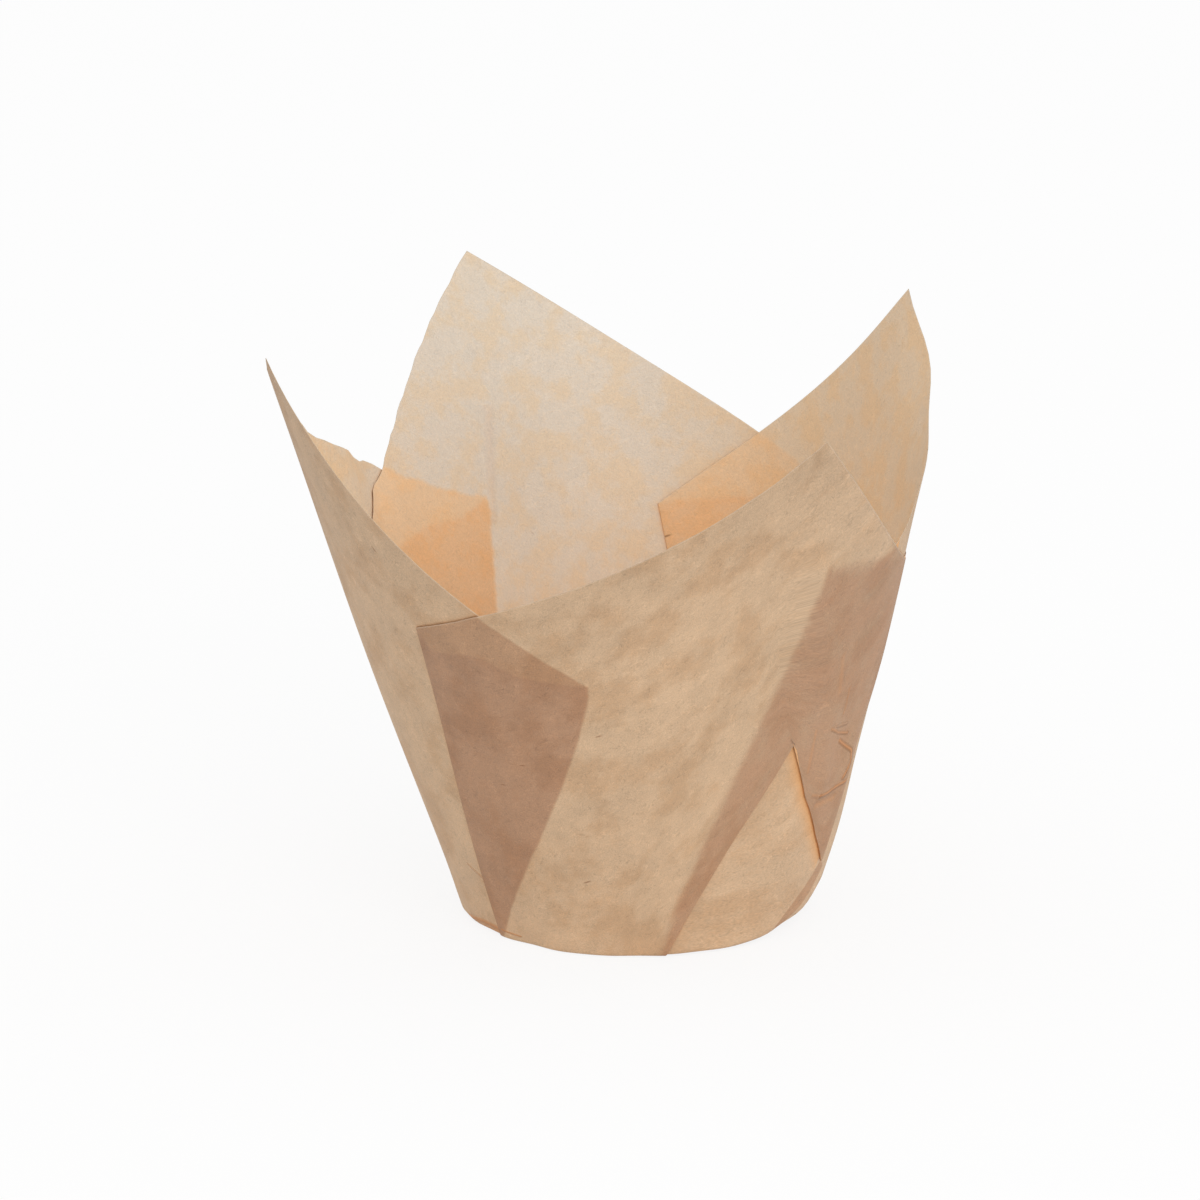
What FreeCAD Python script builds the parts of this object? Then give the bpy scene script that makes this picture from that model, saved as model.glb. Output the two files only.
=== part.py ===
import FreeCAD, Part
import math
import os

# Cupcake liner: one square sheet of baking parchment, pressed over a round former.
# The middle of the sheet is the base, its four corners stand up as petals, and the
# spare paper between two petals lies in a flat knife pleat, three layers thick.
# Frame: +Z up, origin at the centre of the base on the surface it stands on, and the
# sheet's sides parallel to X and Y, so the petals point about halfway between them.
# A place on the wall is a plan angle in degrees and a slant, the distance up the wall
# from the crease round the base, as the paper lies.

document = FreeCAD.newDocument("cupcake_liner")
sheet = document.addObject("Spreadsheet::Sheet", "dimensions")
sheet.Label = "dimensions"

commonSizes = {
    "sheet_side": 160.0,       # side of the square sheet before folding
    "base_diameter": 50.0,     # former that the sheet is pressed over
    "paper_thickness": 0.2,
    "layer_gap": 0.2,          # air between two layers of a pleat
    "pleat_root": 1.2,         # width of a pleat where it starts at the base crease
}

# Petals in order round the cup: lean of the wall from upright under the petal, bow of
# the wall at the tip (outward positive), turn of the tip from its quarter's middle, and
# how much further up the tip reaches than the corner of a centred square would.
petalColumns = ("lean", "bow", "turn", "rise")
petalSizes = {
    "right": (13.1, -0.6, -1.4, -0.7),
    "back": (15.5, 8.5, -3.5, 1.7),
    "left": (21.1, -1.9, -7.9, 1.6),
    "front": (18.8, -3.7, 2.1, -6.6),
}

# Pleats, each between a petal and the next: lean and bow of the wall there, turn of the
# pleat's middle at the cut edge and of its root at the base, slack of the pleat beyond
# the spare paper, rise of the cut edge at its first and second fold, sag of the cut edge
# between a fold and the next tip, and bend of the first fold.
pleatColumns = ("lean", "bow", "turn", "root_turn", "slack", "first_rise", "second_rise",
                "first_sag", "second_sag", "bend")
pleatSizes = {
    "right_back": (19.7, 0.0, -10.9, -6.5, 4.5, -3.9, 0.1, -0.9, -4.8, 0.0),
    "back_left": (18.0, 0.0, -22.7, -29.5, -3.6, -2.5, -1.9, -2.7, -4.5, 0.0),
    "left_front": (22.1, 0.7, -10.2, -34.3, 6.4, -7.4, -1.1, -2.5, -1.6, 7.4),
    "front_right": (15.9, -7.8, -8.3, -66.3, 5.3, -1.6, 5.6, -7.8, -11.5, 0.0),
}

# The last pleat was pressed flat unevenly. Its outer fold first leans back to a notch, then
# turns down along the mouth of a flap to the flap's corner, and only then runs up to the
# cut edge. Each of these places has its turn and slant, and the share of the way up that
# the rows of the paper which end in it start from.
flapPleat = "front_right"
flapColumns = ("turn", "slant", "share")
flapSizes = {
    "notch": (-36.6, 33.2, 0.8),
    "mouth": (-23.0, 19.8, 0.86),
    "corner": (-2.7, 9.4, 0.92),
}


def fillSheet():
    row = 1
    named = dict(commonSizes)
    for table, columns in ((petalSizes, petalColumns), (pleatSizes, pleatColumns),
                           (flapSizes, flapColumns)):
        for place, values in table.items():
            for column, value in zip(columns, values):
                named[place + "_" + column] = value
    for alias, value in named.items():
        sheet.set("A%d" % row, alias)
        sheet.set("B%d" % row, str(value))
        sheet.setAlias("B%d" % row, alias)
        row += 1


fillSheet()
document.recompute()


def size(name):
    return float(getattr(sheet, name))


petals = list(petalSizes)
pleats = list(pleatSizes)
quarter = 90.0
thickness = size("paper_thickness")
pitch = thickness + size("layer_gap")
baseRadius = size("base_diameter") / 2
sideSlant = size("sheet_side") / 2 - baseRadius
cornerSlant = size("sheet_side") / math.sqrt(2) - baseRadius
columnsAcross = 9    # columns in a panel, each a curve up the wall
pointsUp = 5         # points of such a curve
rootShare = 0.15     # how near to a fold a petal's middle line may start, of its width

# In the last pleat the front petal lies outside, in the others the second petal does.
firstLayer = {"right_back": -1, "back_left": -1, "left_front": -1, "front_right": 1}


def aroundWall(kind, angle):
    """Lean or bow of the wall at a plan angle, smooth through all petals and pleats."""
    stations = []
    for petal, pleat in zip(petals, [pleats[-1]] + pleats[:-1]):
        stations.append(size(pleat + "_" + kind))
        stations.append(size(petal + "_" + kind))
    place = (angle / (quarter / 2)) % len(stations)
    start = int(place)
    part = place - start
    before, here, there, after = [stations[(start + k) % len(stations)] for k in (-1, 0, 1, 2)]
    slopeHere = (there - before) / 2
    slopeThere = (after - here) / 2
    return (here * (2 * part ** 3 - 3 * part ** 2 + 1) + slopeHere * (part ** 3 - 2 * part ** 2 + part)
            + there * (3 * part ** 2 - 2 * part ** 3) + slopeThere * (part ** 3 - part ** 2))


def wallPoint(angle, slant, offset):
    """Point of the wall, moved outward by an offset for its layer and its side."""
    lean = math.radians(aroundWall("lean", angle))
    bow = aroundWall("bow", angle) * (slant / cornerSlant) ** 3
    radius = baseRadius + slant * math.sin(lean) + bow * math.cos(lean) + offset
    height = slant * math.cos(lean) - bow * math.sin(lean)
    turn = math.radians(angle)
    return FreeCAD.Vector(radius * math.cos(turn), radius * math.sin(turn), height)


def wallRadius(angle, slant):
    point = wallPoint(angle, slant, 0)
    return math.hypot(point.x, point.y)


def tipAngle(index):
    petal = petals[index % len(petals)]
    return (index + 0.5) * quarter + size(petal + "_turn")


def tipSlant(index):
    return cornerSlant + size(petals[index % len(petals)] + "_rise")


def foldSlant(pleat, fold):
    """Slant of the cut edge at a pleat's first (0) or second (1) fold."""
    rise = "_second_rise" if fold else "_first_rise"
    return sideSlant + size(pleats[pleat % len(pleats)] + rise)


def pleatWidth(pleat):
    """Angle that a pleat covers at the cut edge: half of the paper left over there."""
    name = pleats[pleat % len(pleats)]
    slant = (foldSlant(pleat, 0) + foldSlant(pleat, 1)) / 2
    radius = wallRadius((pleat + 1) * quarter + size(name + "_turn"), slant)
    paper = (baseRadius + slant) * math.radians(quarter)
    cup = radius * math.radians(tipAngle(pleat + 1) - tipAngle(pleat))
    return math.degrees((paper - cup) / 2 / radius) + size(name + "_slack")


def foldAngle(pleat, fold, part):
    """Plan angle of a straight fold, from its root at the base (part 0) to the cut edge."""
    name = pleats[pleat % len(pleats)]
    way = -1 if fold else 1
    root = size(name + "_root_turn") + way * math.degrees(size("pleat_root") / 2 / baseRadius)
    top = size(name + "_turn") + way * pleatWidth(pleat) / 2
    bend = 0 if fold else 4 * part * (1 - part) * size(name + "_bend")
    return (pleat + 1) * quarter + root + (top - root) * part + bend


def foldAngleAt(pleat, fold, slant):
    return foldAngle(pleat, fold, min(slant / foldSlant(pleat, fold), 1))


def spineAngle(petal, part):
    """Line up the middle of a petal to its tip. It starts well between the two folds."""
    before = foldAngle(petal - 1, 1, 0)
    after = foldAngle(petal, 0, 0)
    room = rootShare * (after - before)
    root = min(max(tipAngle(petal), before + room), after - room)
    return root + (tipAngle(petal) - root) * part


def hasFlap(pleat):
    return pleats[pleat % len(pleats)] == flapPleat


def levelsOf(pleat):
    """Shares of the way up the wall that bound the levels of a pleat's paper."""
    if not hasFlap(pleat):
        return [0.0, 1.0]
    return [0.0] + [size(place + "_share") for place in flapSizes] + [1.0]


def alongLine(share, shares, places):
    """Place on a line of straight stretches, given the share where each one starts."""
    level = 0
    while level < len(shares) - 2 and share > shares[level + 1]:
        level += 1
    part = (share - shares[level]) / (shares[level + 1] - shares[level])
    low = places[level]
    high = places[level + 1]
    return [one + (other - one) * part for one, other in zip(low, high)]


def flapPlaces(pleat):
    """Plan angle and slant of the outer fold's turns, from the base to the cut edge."""
    turns = [(foldAngle(pleat, 0, 0), 0.0)]
    for place in flapSizes:
        turns.append(((pleat + 1) * quarter + size(place + "_turn"), size(place + "_slant")))
    turns.append((foldAngle(pleat, 0, 1), foldSlant(pleat, 0)))
    return turns


def towardsPaper(first, second):
    """Direction from a stretch of the outer fold to its paper, as two lengths."""
    radius = wallRadius((first[0] + second[0]) / 2, (first[1] + second[1]) / 2)
    across = radius * math.radians(second[0] - first[0])
    up = second[1] - first[1]
    length = math.hypot(across, up)
    return -up / length, across / length


def tightPlaces(pleat):
    """The same turns on the skin inside the bend, a thickness within the outer ones."""
    places = flapPlaces(pleat)
    tight = []
    for before, here, after in zip(places, places[1:], places[2:]):
        one = towardsPaper(before, here)
        other = towardsPaper(here, after)
        reach = thickness / (1 + one[0] * other[0] + one[1] * other[1])
        angle = here[0] + math.degrees(reach * (one[0] + other[0]) / wallRadius(*here))
        tight.append((angle, here[1] + reach * (one[1] + other[1])))
    ends = [(angle - math.degrees(thickness / wallRadius(angle, slant)), slant)
            for angle, slant in (places[0], places[-1])]
    return [ends[0]] + tight + [ends[1]]


def layerOffset(petal, angle, slant):
    """A petal passes from its layer in the pleat before it to its layer in the next."""
    before = -firstLayer[pleats[(petal - 1) % len(pleats)]] * pitch
    after = firstLayer[pleats[petal % len(pleats)]] * pitch
    start = foldAngleAt(petal - 1, 0, slant)
    end = foldAngleAt(petal, 1, slant)
    part = min(max((angle - start) / (end - start), 0), 1)
    return before + (after - before) * part * part * (3 - 2 * part)


def startSlant(angle, side):
    """The outer skin starts on the ground, the inner one on the floor of the cup."""
    return 0 if side > 0 else thickness / math.cos(math.radians(aroundWall("lean", angle)))


def skinFold(pleat, fold, share, side):
    """Place of a fold on one skin: the skin inside the bend stops a thickness short."""
    wraps = firstLayer[pleats[pleat % len(pleats)]] * (-1 if fold else 1) * side > 0
    if hasFlap(pleat) and not fold:
        places = flapPlaces(pleat) if wraps else tightPlaces(pleat)
        return alongLine(share, levelsOf(pleat), places)
    angle = foldAngle(pleat, fold, share)
    slant = share * foldSlant(pleat, fold)
    if wraps:
        return angle, slant
    return angle + math.degrees(thickness / wallRadius(angle, slant)) * (1 if fold else -1), slant


def steps(count, low=0.0, high=1.0):
    return [low + (high - low) * k / (count - 1) for k in range(count)]


def wallColumn(placeAt, offsetAt, levels, side):
    """Curves up the wall, one for each level, through places given by their share."""
    curves = []
    for low, high in zip(levels, levels[1:]):
        points = []
        for share in steps(pointsUp, low, high):
            angle, slant = placeAt(share)
            lifted = slant + startSlant(angle, side) * max(1 - share / levels[1], 0)
            points.append(wallPoint(angle, lifted, offsetAt(angle, slant)))
        curve = Part.BSplineCurve()
        curve.interpolate(Points=points, Parameters=steps(pointsUp, low, high))
        curves.append(curve)
    return curves


def stretches(curve, levels):
    """A whole curve up the wall, cut where the levels of the paper beside it meet."""
    cut = []
    for low, high in zip(levels, levels[1:]):
        piece = curve.copy()
        piece.segment(low, high)
        cut.append(piece)
    return cut


def spineColumn(petal, side):
    def placeAt(share):
        return spineAngle(petal, share), share * tipSlant(petal)

    def offsetAt(angle, slant):
        return layerOffset(petal, angle, slant) + side * thickness / 2

    return wallColumn(placeAt, offsetAt, [0.0, 1.0], side)


def petalCurves(petal, half, side):
    """Columns of half a petal, from its fold to the line under its tip."""
    pleat = petal - 1 + half
    fold = 1 - half
    sag = size(pleats[pleat % len(pleats)] + ("_second_sag" if fold else "_first_sag"))
    levels = levelsOf(pleat) if half else [0.0, 1.0]

    def offsetAt(angle, slant):
        return layerOffset(petal, angle, slant) + side * thickness / 2

    columns = []
    for across in steps(columnsAcross)[:-1]:
        def placeAt(share):
            foldHere, foldUp = skinFold(pleat, fold, share, side)
            dip = 4 * across * (1 - across) * sag * max((share - levels[-2]) / (1 - levels[-2]), 0)
            return (foldHere + (spineAngle(petal, share) - foldHere) * across,
                    foldUp + (share * tipSlant(petal) - foldUp) * across + dip)
        columns.append(wallColumn(placeAt, offsetAt, levels, side))
    return columns + [stretches(spineColumn(petal, side)[0], levels)]


def middleCurves(pleat, side):
    """Columns of the middle layer of a pleat, from its first fold back to its second."""
    columns = []
    for across in steps(columnsAcross):
        def placeAt(share):
            first, firstUp = skinFold(pleat, 0, share, side)
            second, secondUp = skinFold(pleat, 1, share, side)
            return first + (second - first) * across, firstUp + (secondUp - firstUp) * across
        columns.append(wallColumn(placeAt, lambda angle, slant: -side * thickness / 2, levelsOf(pleat), side))
    return columns


def endsLine(one, other, end):
    points = [curve.value(curve.LastParameter if end else curve.FirstParameter) for curve in (one, other)]
    return Part.makeLine(points[0], points[1])


class Skin:
    """One side of the whole folded sheet: its faces, bottom edges and top edges."""

    def __init__(self, side):
        self.faces = []
        self.bottoms = []
        self.tops = []
        panels = [[petalCurves(index, half, side) for half in (0, 1)] for index in range(len(petals))]
        for index, (first, second) in enumerate(panels):
            following = panels[(index + 1) % len(panels)][0][0][0]
            self.addStrips(first)
            self.addStrips(second)
            layers = [second[0]] + middleCurves(index, side)
            self.addStrips(layers + [stretches(following, levelsOf(index))])

    def addStrips(self, columns):
        """Ruled strips between neighbouring columns."""
        for one, other in zip(columns, columns[1:]):
            for low, high in zip(one, other):
                self.faces.append(low.makeRuledSurface(high).toShape())
            self.bottoms.append(endsLine(one[0], other[0], False))
            self.tops.append(endsLine(one[-1], other[-1], True))


def liner():
    outer = Skin(1)
    inner = Skin(-1)
    rim = [Part.makeRuledSurface(one, other) for one, other in zip(outer.tops, inner.tops)]
    base = [Part.Face(Part.Wire(Part.__sortEdges__(skin.bottoms))) for skin in (outer, inner)]
    shell = Part.makeCompound(outer.faces + inner.faces + rim + base)
    shell.sewShape()
    solid = Part.makeSolid(shell.Shells[0])
    if solid.Volume < 0:
        solid.reverse()
    return solid


feature = document.addObject("Part::Feature", "liner")
feature.Label = "liner"
feature.Shape = liner()
feature.Placement = FreeCAD.Placement()
document.recompute()

parts = [feature]
for item in document.Objects:
    if "Invalid" in item.State or "Error" in item.State:
        raise RuntimeError("%s did not build: %s" % (item.Label, item.State))
for item in parts:
    if item.Shape.isNull() or not item.Shape.isValid() or len(item.Shape.Solids) != 1:
        raise RuntimeError("%s is not one valid solid" % item.Label)

os.makedirs("parts", exist_ok=True)
for item in parts:
    item.Shape.exportStep("parts/%s.step" % item.Label)
    box = item.Shape.BoundBox
    print("%s: volume %.1f mm3, box %.1f x %.1f x %.1f mm, %d faces"
          % (item.Label, item.Shape.Volume, box.XLength, box.YLength, box.ZLength, len(item.Shape.Faces)))
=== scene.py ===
import bpy
import math
import numpy as np
from mathutils import Matrix, Vector


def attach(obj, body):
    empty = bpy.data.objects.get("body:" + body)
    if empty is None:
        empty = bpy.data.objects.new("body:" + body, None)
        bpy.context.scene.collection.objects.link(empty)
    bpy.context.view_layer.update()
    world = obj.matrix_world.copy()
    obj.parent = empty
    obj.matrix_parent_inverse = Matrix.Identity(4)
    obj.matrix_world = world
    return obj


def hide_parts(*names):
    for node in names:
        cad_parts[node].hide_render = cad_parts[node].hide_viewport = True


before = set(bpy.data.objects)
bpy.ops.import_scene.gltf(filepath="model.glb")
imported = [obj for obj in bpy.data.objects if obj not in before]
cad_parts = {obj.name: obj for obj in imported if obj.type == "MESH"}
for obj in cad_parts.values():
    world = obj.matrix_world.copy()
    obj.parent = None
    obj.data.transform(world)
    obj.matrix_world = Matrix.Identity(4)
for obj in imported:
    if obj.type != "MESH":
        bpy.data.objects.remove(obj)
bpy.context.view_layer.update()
random = np.random.default_rng(7)
mm = 0.001

# Cupcake liner folded from one square sheet of parchment. A place on its wall is a plan
# angle in degrees and a slant, the distance in mm up the wall from the base crease.

paperSizes = {
    "baseRadius": 25.0,
    "cornerSlant": 88.14,      # from the base crease to a corner of a centred square
    "widening": 0.33,          # of the wall's radius for each mm up, about
    "thickness": 0.07,
    "layerStep": 0.1,          # from one layer of a pleat to the next
    "rootStep": 0.75,          # part of that at the base crease
    "rootHeight": 8.0,         # slant where the layers are fully apart
    "rootWidth": 0.6,          # width of a pleat at the base crease
    "rimWaves": 0.35,          # unevenness of the base crease
    "rimHeight": 5.0,          # how far up the wall it reaches
    "waviness": 0.3,           # soft unevenness that all layers share
    "corner": 0.5,             # rounding from base to wall
    "liftedCorner": 5.0,       # the same where the cup is not pressed down, front right
    "liftedAngle": 4.0,
    "liftedSpread": 30.0,
    "baseGather": 5.0,         # how far the pleats run in under the base
}

# Lean of the wall from upright and its outward bow at the tips, every 45 degrees.
wallLean = [15.94, 13.1, 19.68, 15.51, 17.96, 21.14, 22.05, 18.81]
wallBow = [-7.79, -0.57, -0.05, 8.5, -0.05, -1.89, 0.66, -3.67]

# Petals in order round the cup: plan angle and slant of the tip.
petals = [
    {"name": "right", "tip": (43.65, 87.42)},
    {"name": "back", "tip": (131.49, 89.81)},
    {"name": "left", "tip": (217.12, 89.78)},
    {"name": "front", "tip": (317.08, 81.54)},
]

# Pleat after each petal. first is the fold that ends the petal before it, second the fold
# that starts the next petal, sag the dip of the cut edge from that fold to the tip.
# middleTop gives the middle layer's cut edge: part of the way across, and dip in mm. soft is
# how blurred the painted shade of the deeper layers is where they show through, depth below 1 makes it
# fainter.
pleats = [
    {"name": "rightBack", "root": 83.46, "first": (101.31, 51.13), "second": (56.82, 55.1),
     "sag": (-0.9, -4.79), "firstLayer": -1, "bend": 0.0, "ragged": 0.0, "soft": 1.0, "depth": 10.0,
     "middleTop": [(0.22, 0.0), (0.45, 0.1), (0.75, 0.4)]},
    {"name": "backLeft", "root": 150.55, "first": (177.0, 52.52), "second": (137.56, 53.12),
     "sag": (-2.66, -4.5), "firstLayer": -1, "bend": 0.0, "ragged": 1.0, "soft": 1.0, "depth": 10.0,
     "middleTop": [(0.34, -3.5), (0.54, -1.9), (0.78, -2.2)]},
    {"name": "leftFront", "root": 235.7, "first": (276.48, 47.63), "second": (243.13, 53.89),
     "sag": (-2.47, -1.58), "firstLayer": -1, "bend": 7.4, "ragged": 0.15, "soft": 0.6, "depth": 10.0,
     "middleTop": [(0.39, -1.1), (0.61, 0.1), (0.94, -3.0)]},
    {"name": "frontRight", "root": 293.65, "first": (379.88, 53.36), "second": (323.45, 60.61),
     "sag": (-7.76, -11.5), "firstLayer": 1, "bend": 0.0, "ragged": 0.1, "soft": 2.4, "depth": 0.15,
     "middleTop": [(0.4, -0.5), (0.88, 0.8)]},
]

# The front right pleat was pressed flat unevenly: near the base its outer fold turns back
# to a notch and then out to the mouth of a flap. row is the place in the rows of the grid.
flapOutline = [
    {"row": 0.40, "share": 0.8, "place": (322.8, 33.9)},
    {"row": 0.46, "share": 0.84, "place": (326.4, 29.2)},
    {"row": 0.52, "share": 0.872, "place": (331.6, 23.6)},
    {"row": 0.58, "share": 0.9, "place": (342.7, 15.6)},
    {"row": 0.65, "share": 0.92, "place": (353.4, 9.6)},
    {"row": 0.71, "share": 0.937, "place": (354.6, 17.0)},
    {"row": 0.80, "share": 0.958, "place": (357.0, 30.0)},
    {"row": 0.87, "share": 0.972, "place": (362.5, 39.0)},
    {"row": 0.93, "share": 0.985, "place": (370.5, 46.0)},
]
# spots is how many of them lie along the mouth, degree the mm round the wall for each degree.
# The painted contact shadow under the flap ends at bareAngle, and the other two close its outline behind the
# mouth.
flapMouth = {"spots": 5, "lift": 0.03, "reach": 4.0, "degree": 0.58,
             "bareAngle": 352.0, "farAngle": 400.0, "topSlant": 60.0}
# Narrow strip of the middle layer that shows through below the flap.
hiddenStrip = [(354.5, 10.2), (344.0, 5.2), (334.5, 1.0), (340.5, 0.4), (350.0, 3.6), (358.5, 8.2)]

# Soft bulges and dents of the wall: plan angle and slant of the middle, spread, height in mm.
dents = [
    {"at": (30.0, 82.0), "spread": (10.0, 10.0), "height": 2.8},      # belly of the right petal
    {"at": (16.0, 72.0), "spread": (10.0, 12.0), "height": 1.2},
    {"at": (186.0, 66.0), "spread": (3.2, 16.0), "height": 0.7},      # flutes of the left petal
    {"at": (176.2, 64.0), "spread": (2.6, 16.0), "height": -0.8},
    {"at": (167.5, 60.0), "spread": (2.4, 15.0), "height": 0.7},
    {"at": (137.0, 58.0), "spread": (1.6, 10.0), "height": 0.25},
    {"at": (10.0, 13.0), "spread": (16.0, 9.0), "height": 0.55},
    {"at": (344.0, 31.0), "spread": (8.0, 4.5), "height": -0.7},      # dimple above the flap
    {"at": (352.0, 25.0), "spread": (3.0, 6.0), "height": 0.5},
    {"at": (338.0, 27.0), "spread": (4.0, 4.0), "height": 0.45},
    {"at": (331.0, 36.0), "spread": (3.0, 6.0), "height": -0.3},
    {"at": (312.0, 16.0), "spread": (5.0, 6.0), "height": -0.25},
    {"at": (296.0, 44.0), "spread": (7.0, 16.0), "height": -0.3},
    {"at": (262.0, 30.0), "spread": (3.0, 16.0), "height": -0.25},
]

gridSizes = {
    "petalColumns": 38,        # from a fold to the line under the tip
    "middleColumns": 30,
    "foldColumns": 3,
    "columnCrowding": 1.15,    # above 1 the columns stand closer beside the fold
    "rows": 84,
    "footRows": [0.0, 0.002, 0.0045, 0.0075, 0.0115, 0.0165],   # the first ones, close together
    "nextRow": 0.024,
    "baseRings": 13,
    "ringCrowding": 1.6,       # above 1 the rings stand closer beside the crease
    "lastRing": 0.96,          # part of the way to the middle of the base
}


def between(stations, angle):  # smooth periodic value from values every 45 degrees
    stations = np.asarray(stations)
    count = len(stations)
    place = (np.asarray(angle) / 360.0 * count) % count
    start = np.floor(place).astype(int)
    part = place - start
    before, here, there, after = [stations[(start + k) % count] for k in (-1, 0, 1, 2)]
    slopeHere = (there - before) / 2
    slopeThere = (after - here) / 2
    return (here * (2 * part ** 3 - 3 * part ** 2 + 1) + slopeHere * (part ** 3 - 2 * part ** 2 + part)
            + there * (3 * part ** 2 - 2 * part ** 3) + slopeThere * (part ** 3 - part ** 2))


def wallPoints(angle, slant, offset):  # points in mm, moved outward by the offset
    lean = np.radians(between(wallLean, angle))
    bow = between(wallBow, angle) * (slant / paperSizes["cornerSlant"]) ** 3
    radius = paperSizes["baseRadius"] + slant * np.sin(lean) + bow * np.cos(lean) + offset
    height = slant * np.cos(lean) - bow * np.sin(lean)
    turn = np.radians(angle)
    return np.stack([radius * np.cos(turn), radius * np.sin(turn), height], -1)


def smoothStep(low, high, value):
    part = np.clip((value - low) / (high - low), 0, 1)
    return part * part * (3 - 2 * part)


# Rows of the grid from base to cut edge: every column has the same shares of its height,
# close together at the base corner and where the flap needs them.
evenRows = np.linspace(gridSizes["nextRow"], 1.0, gridSizes["rows"] - len(gridSizes["footRows"]))
rowPlace = np.concatenate([gridSizes["footRows"], evenRows])
flapRows = [0.0] + [spot["row"] for spot in flapOutline] + [1.0]
shares = np.interp(rowPlace, flapRows, [0.0] + [spot["share"] for spot in flapOutline] + [1.0])


def foldPlace(pleat, fold):  # plan angles and slants up a pleat's first (0) or second (1) fold
    topAngle, topSlant = pleat["second" if fold else "first"]
    way = -1 if fold else 1
    root = pleat["root"] + way * math.degrees(paperSizes["rootWidth"] / 2 / paperSizes["baseRadius"])
    angle = root + (topAngle - root) * shares
    slant = topSlant * shares
    if pleat["name"] == "frontRight" and not fold:
        angles, slants = zip(*[spot["place"] for spot in flapOutline])
        angle = np.interp(rowPlace, flapRows, [root, *angles, topAngle])
        slant = np.interp(rowPlace, flapRows, [0.0, *slants, topSlant])
    if not fold:
        angle = angle + 4 * shares * (1 - shares) * pleat["bend"]
    return angle, slant


def spinePlace(index):  # line up the middle of a petal to its tip
    before = foldPlace(pleats[index - 1], 1)[0][0]
    after = foldPlace(pleats[index], 0)[0][0]
    tipAngle, tipSlant = petals[index]["tip"]
    if before > tipAngle + 90:
        before -= 360
    low = before + 0.3 * (after - before)
    high = before + 0.7 * (after - before)
    root = min(max(tipAngle, low), high)
    return root + (tipAngle - root) * shares, tipSlant * shares


def raggedEdge(place):  # uneven cut edge: how far it is moved in mm, from a place along it in mm
    steps = np.sin(place * 0.83) + 0.8 * np.sin(place * 1.37 + 1.0) + 0.5 * np.sin(place * 2.9 + 2.0)
    return 0.34 * np.tanh(1.2 * steps)


def nearTurn(angle, other):  # the same plan angles, in the turn that is nearest to another
    return angle - 360 * np.round((angle[-1] - other) / 360)


def petalPanel(index, half):  # half a petal: angles and slants of its columns, fold to spine
    pleat = pleats[index - 1 + half]
    fold = 1 - half
    spineAngle, spineSlant = spinePlace(index)
    foldAngle, foldSlant = foldPlace(pleat, fold)
    foldAngle = nearTurn(foldAngle, spineAngle[-1])
    across = (np.linspace(0, 1, gridSizes["petalColumns"]) ** gridSizes["columnCrowding"])[:, None]
    angle = foldAngle * (1 - across) + spineAngle * across
    sag = 4 * across * (1 - across) * pleat["sag"][fold] * shares
    ragged = raggedEdge(across * 50 + half * 90) * pleat["ragged"] * (1 - 0.5 * half)
    ragged = ragged * smoothStep(0.9, 1.0, shares) * smoothStep(0, 0.05, 1 - across)
    return angle, foldSlant * (1 - across) + spineSlant * across + sag + ragged


def middlePanel(index):  # middle layer of a pleat, from its first fold back to its second
    pleat = pleats[index]
    across = np.linspace(0, 1, gridSizes["middleColumns"])[:, None]
    firstAngle, firstSlant = foldPlace(pleat, 0)
    secondAngle, secondSlant = foldPlace(pleat, 1)
    spots = [(0.0, 0.0)] + pleat["middleTop"] + [(1.0, 0.0)]
    dip = np.interp(across, [part for part, _ in spots], [amount for _, amount in spots])
    angle = firstAngle * (1 - across) + secondAngle * across
    return angle, firstSlant * (1 - across) + secondSlant * across + dip * shares ** 4


def layerOffset(index, angle):  # a petal passes from its layer in one pleat to its layer in the next
    step = paperSizes["layerStep"]
    before = -pleats[index - 1]["firstLayer"] * step
    after = pleats[index]["firstLayer"] * step
    middle = np.mean(angle[:, -1])
    start = nearTurn(foldPlace(pleats[index - 1], 0)[0], middle)
    end = nearTurn(foldPlace(pleats[index], 1)[0], middle)
    part = np.clip((angle - start) / np.maximum(end - start, 1.0), 0, 1)
    return before + (after - before) * part * part * (3 - 2 * part)


def layPaper():  # columns of the folded sheet in order along its path
    columns = []

    def add(kind, index, angle, slant, offset):
        for k in range(len(angle)):
            columns.append({"kind": kind, "index": index, "angle": angle[k], "slant": slant[k],
                            "offset": offset[k]})

    def addFold(index, fold, fromOffset, toOffset, angle, slant):
        # half a turn round the crease, bulging away from the pleat's middle
        way = -1 if fold else 1
        radius = abs(fromOffset - toOffset) / 2
        around = np.hypot(*wallPoints(angle, slant, 0)[:, :2].T)
        for k in range(gridSizes["foldColumns"]):
            turn = math.pi * (k + 1) / (gridSizes["foldColumns"] + 1)
            side = np.degrees(radius * math.sin(turn) / around) * way
            offset = (fromOffset + toOffset) / 2 + (fromOffset - toOffset) / 2 * math.cos(turn)
            add("fold%d" % fold, index, [angle + side], [slant], [np.full(len(shares), offset)])

    for index in range(len(petals)):
        angle, slant = petalPanel(index, 0)
        add("petal0", index, angle, slant, layerOffset(index, angle))
        angle, slant = petalPanel(index, 1)
        offset = layerOffset(index, angle)
        add("petal1", index, angle[-2::-1], slant[-2::-1], offset[-2::-1])
        outer = pleats[index]["firstLayer"] * paperSizes["layerStep"]
        angle, slant = middlePanel(index)
        addFold(index, 0, outer, 0.0, angle[0], slant[0])
        add("middle", index, angle, slant, np.zeros_like(angle))
        addFold(index, 1, 0.0, -outer, angle[-1], slant[-1])
    return columns


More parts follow.
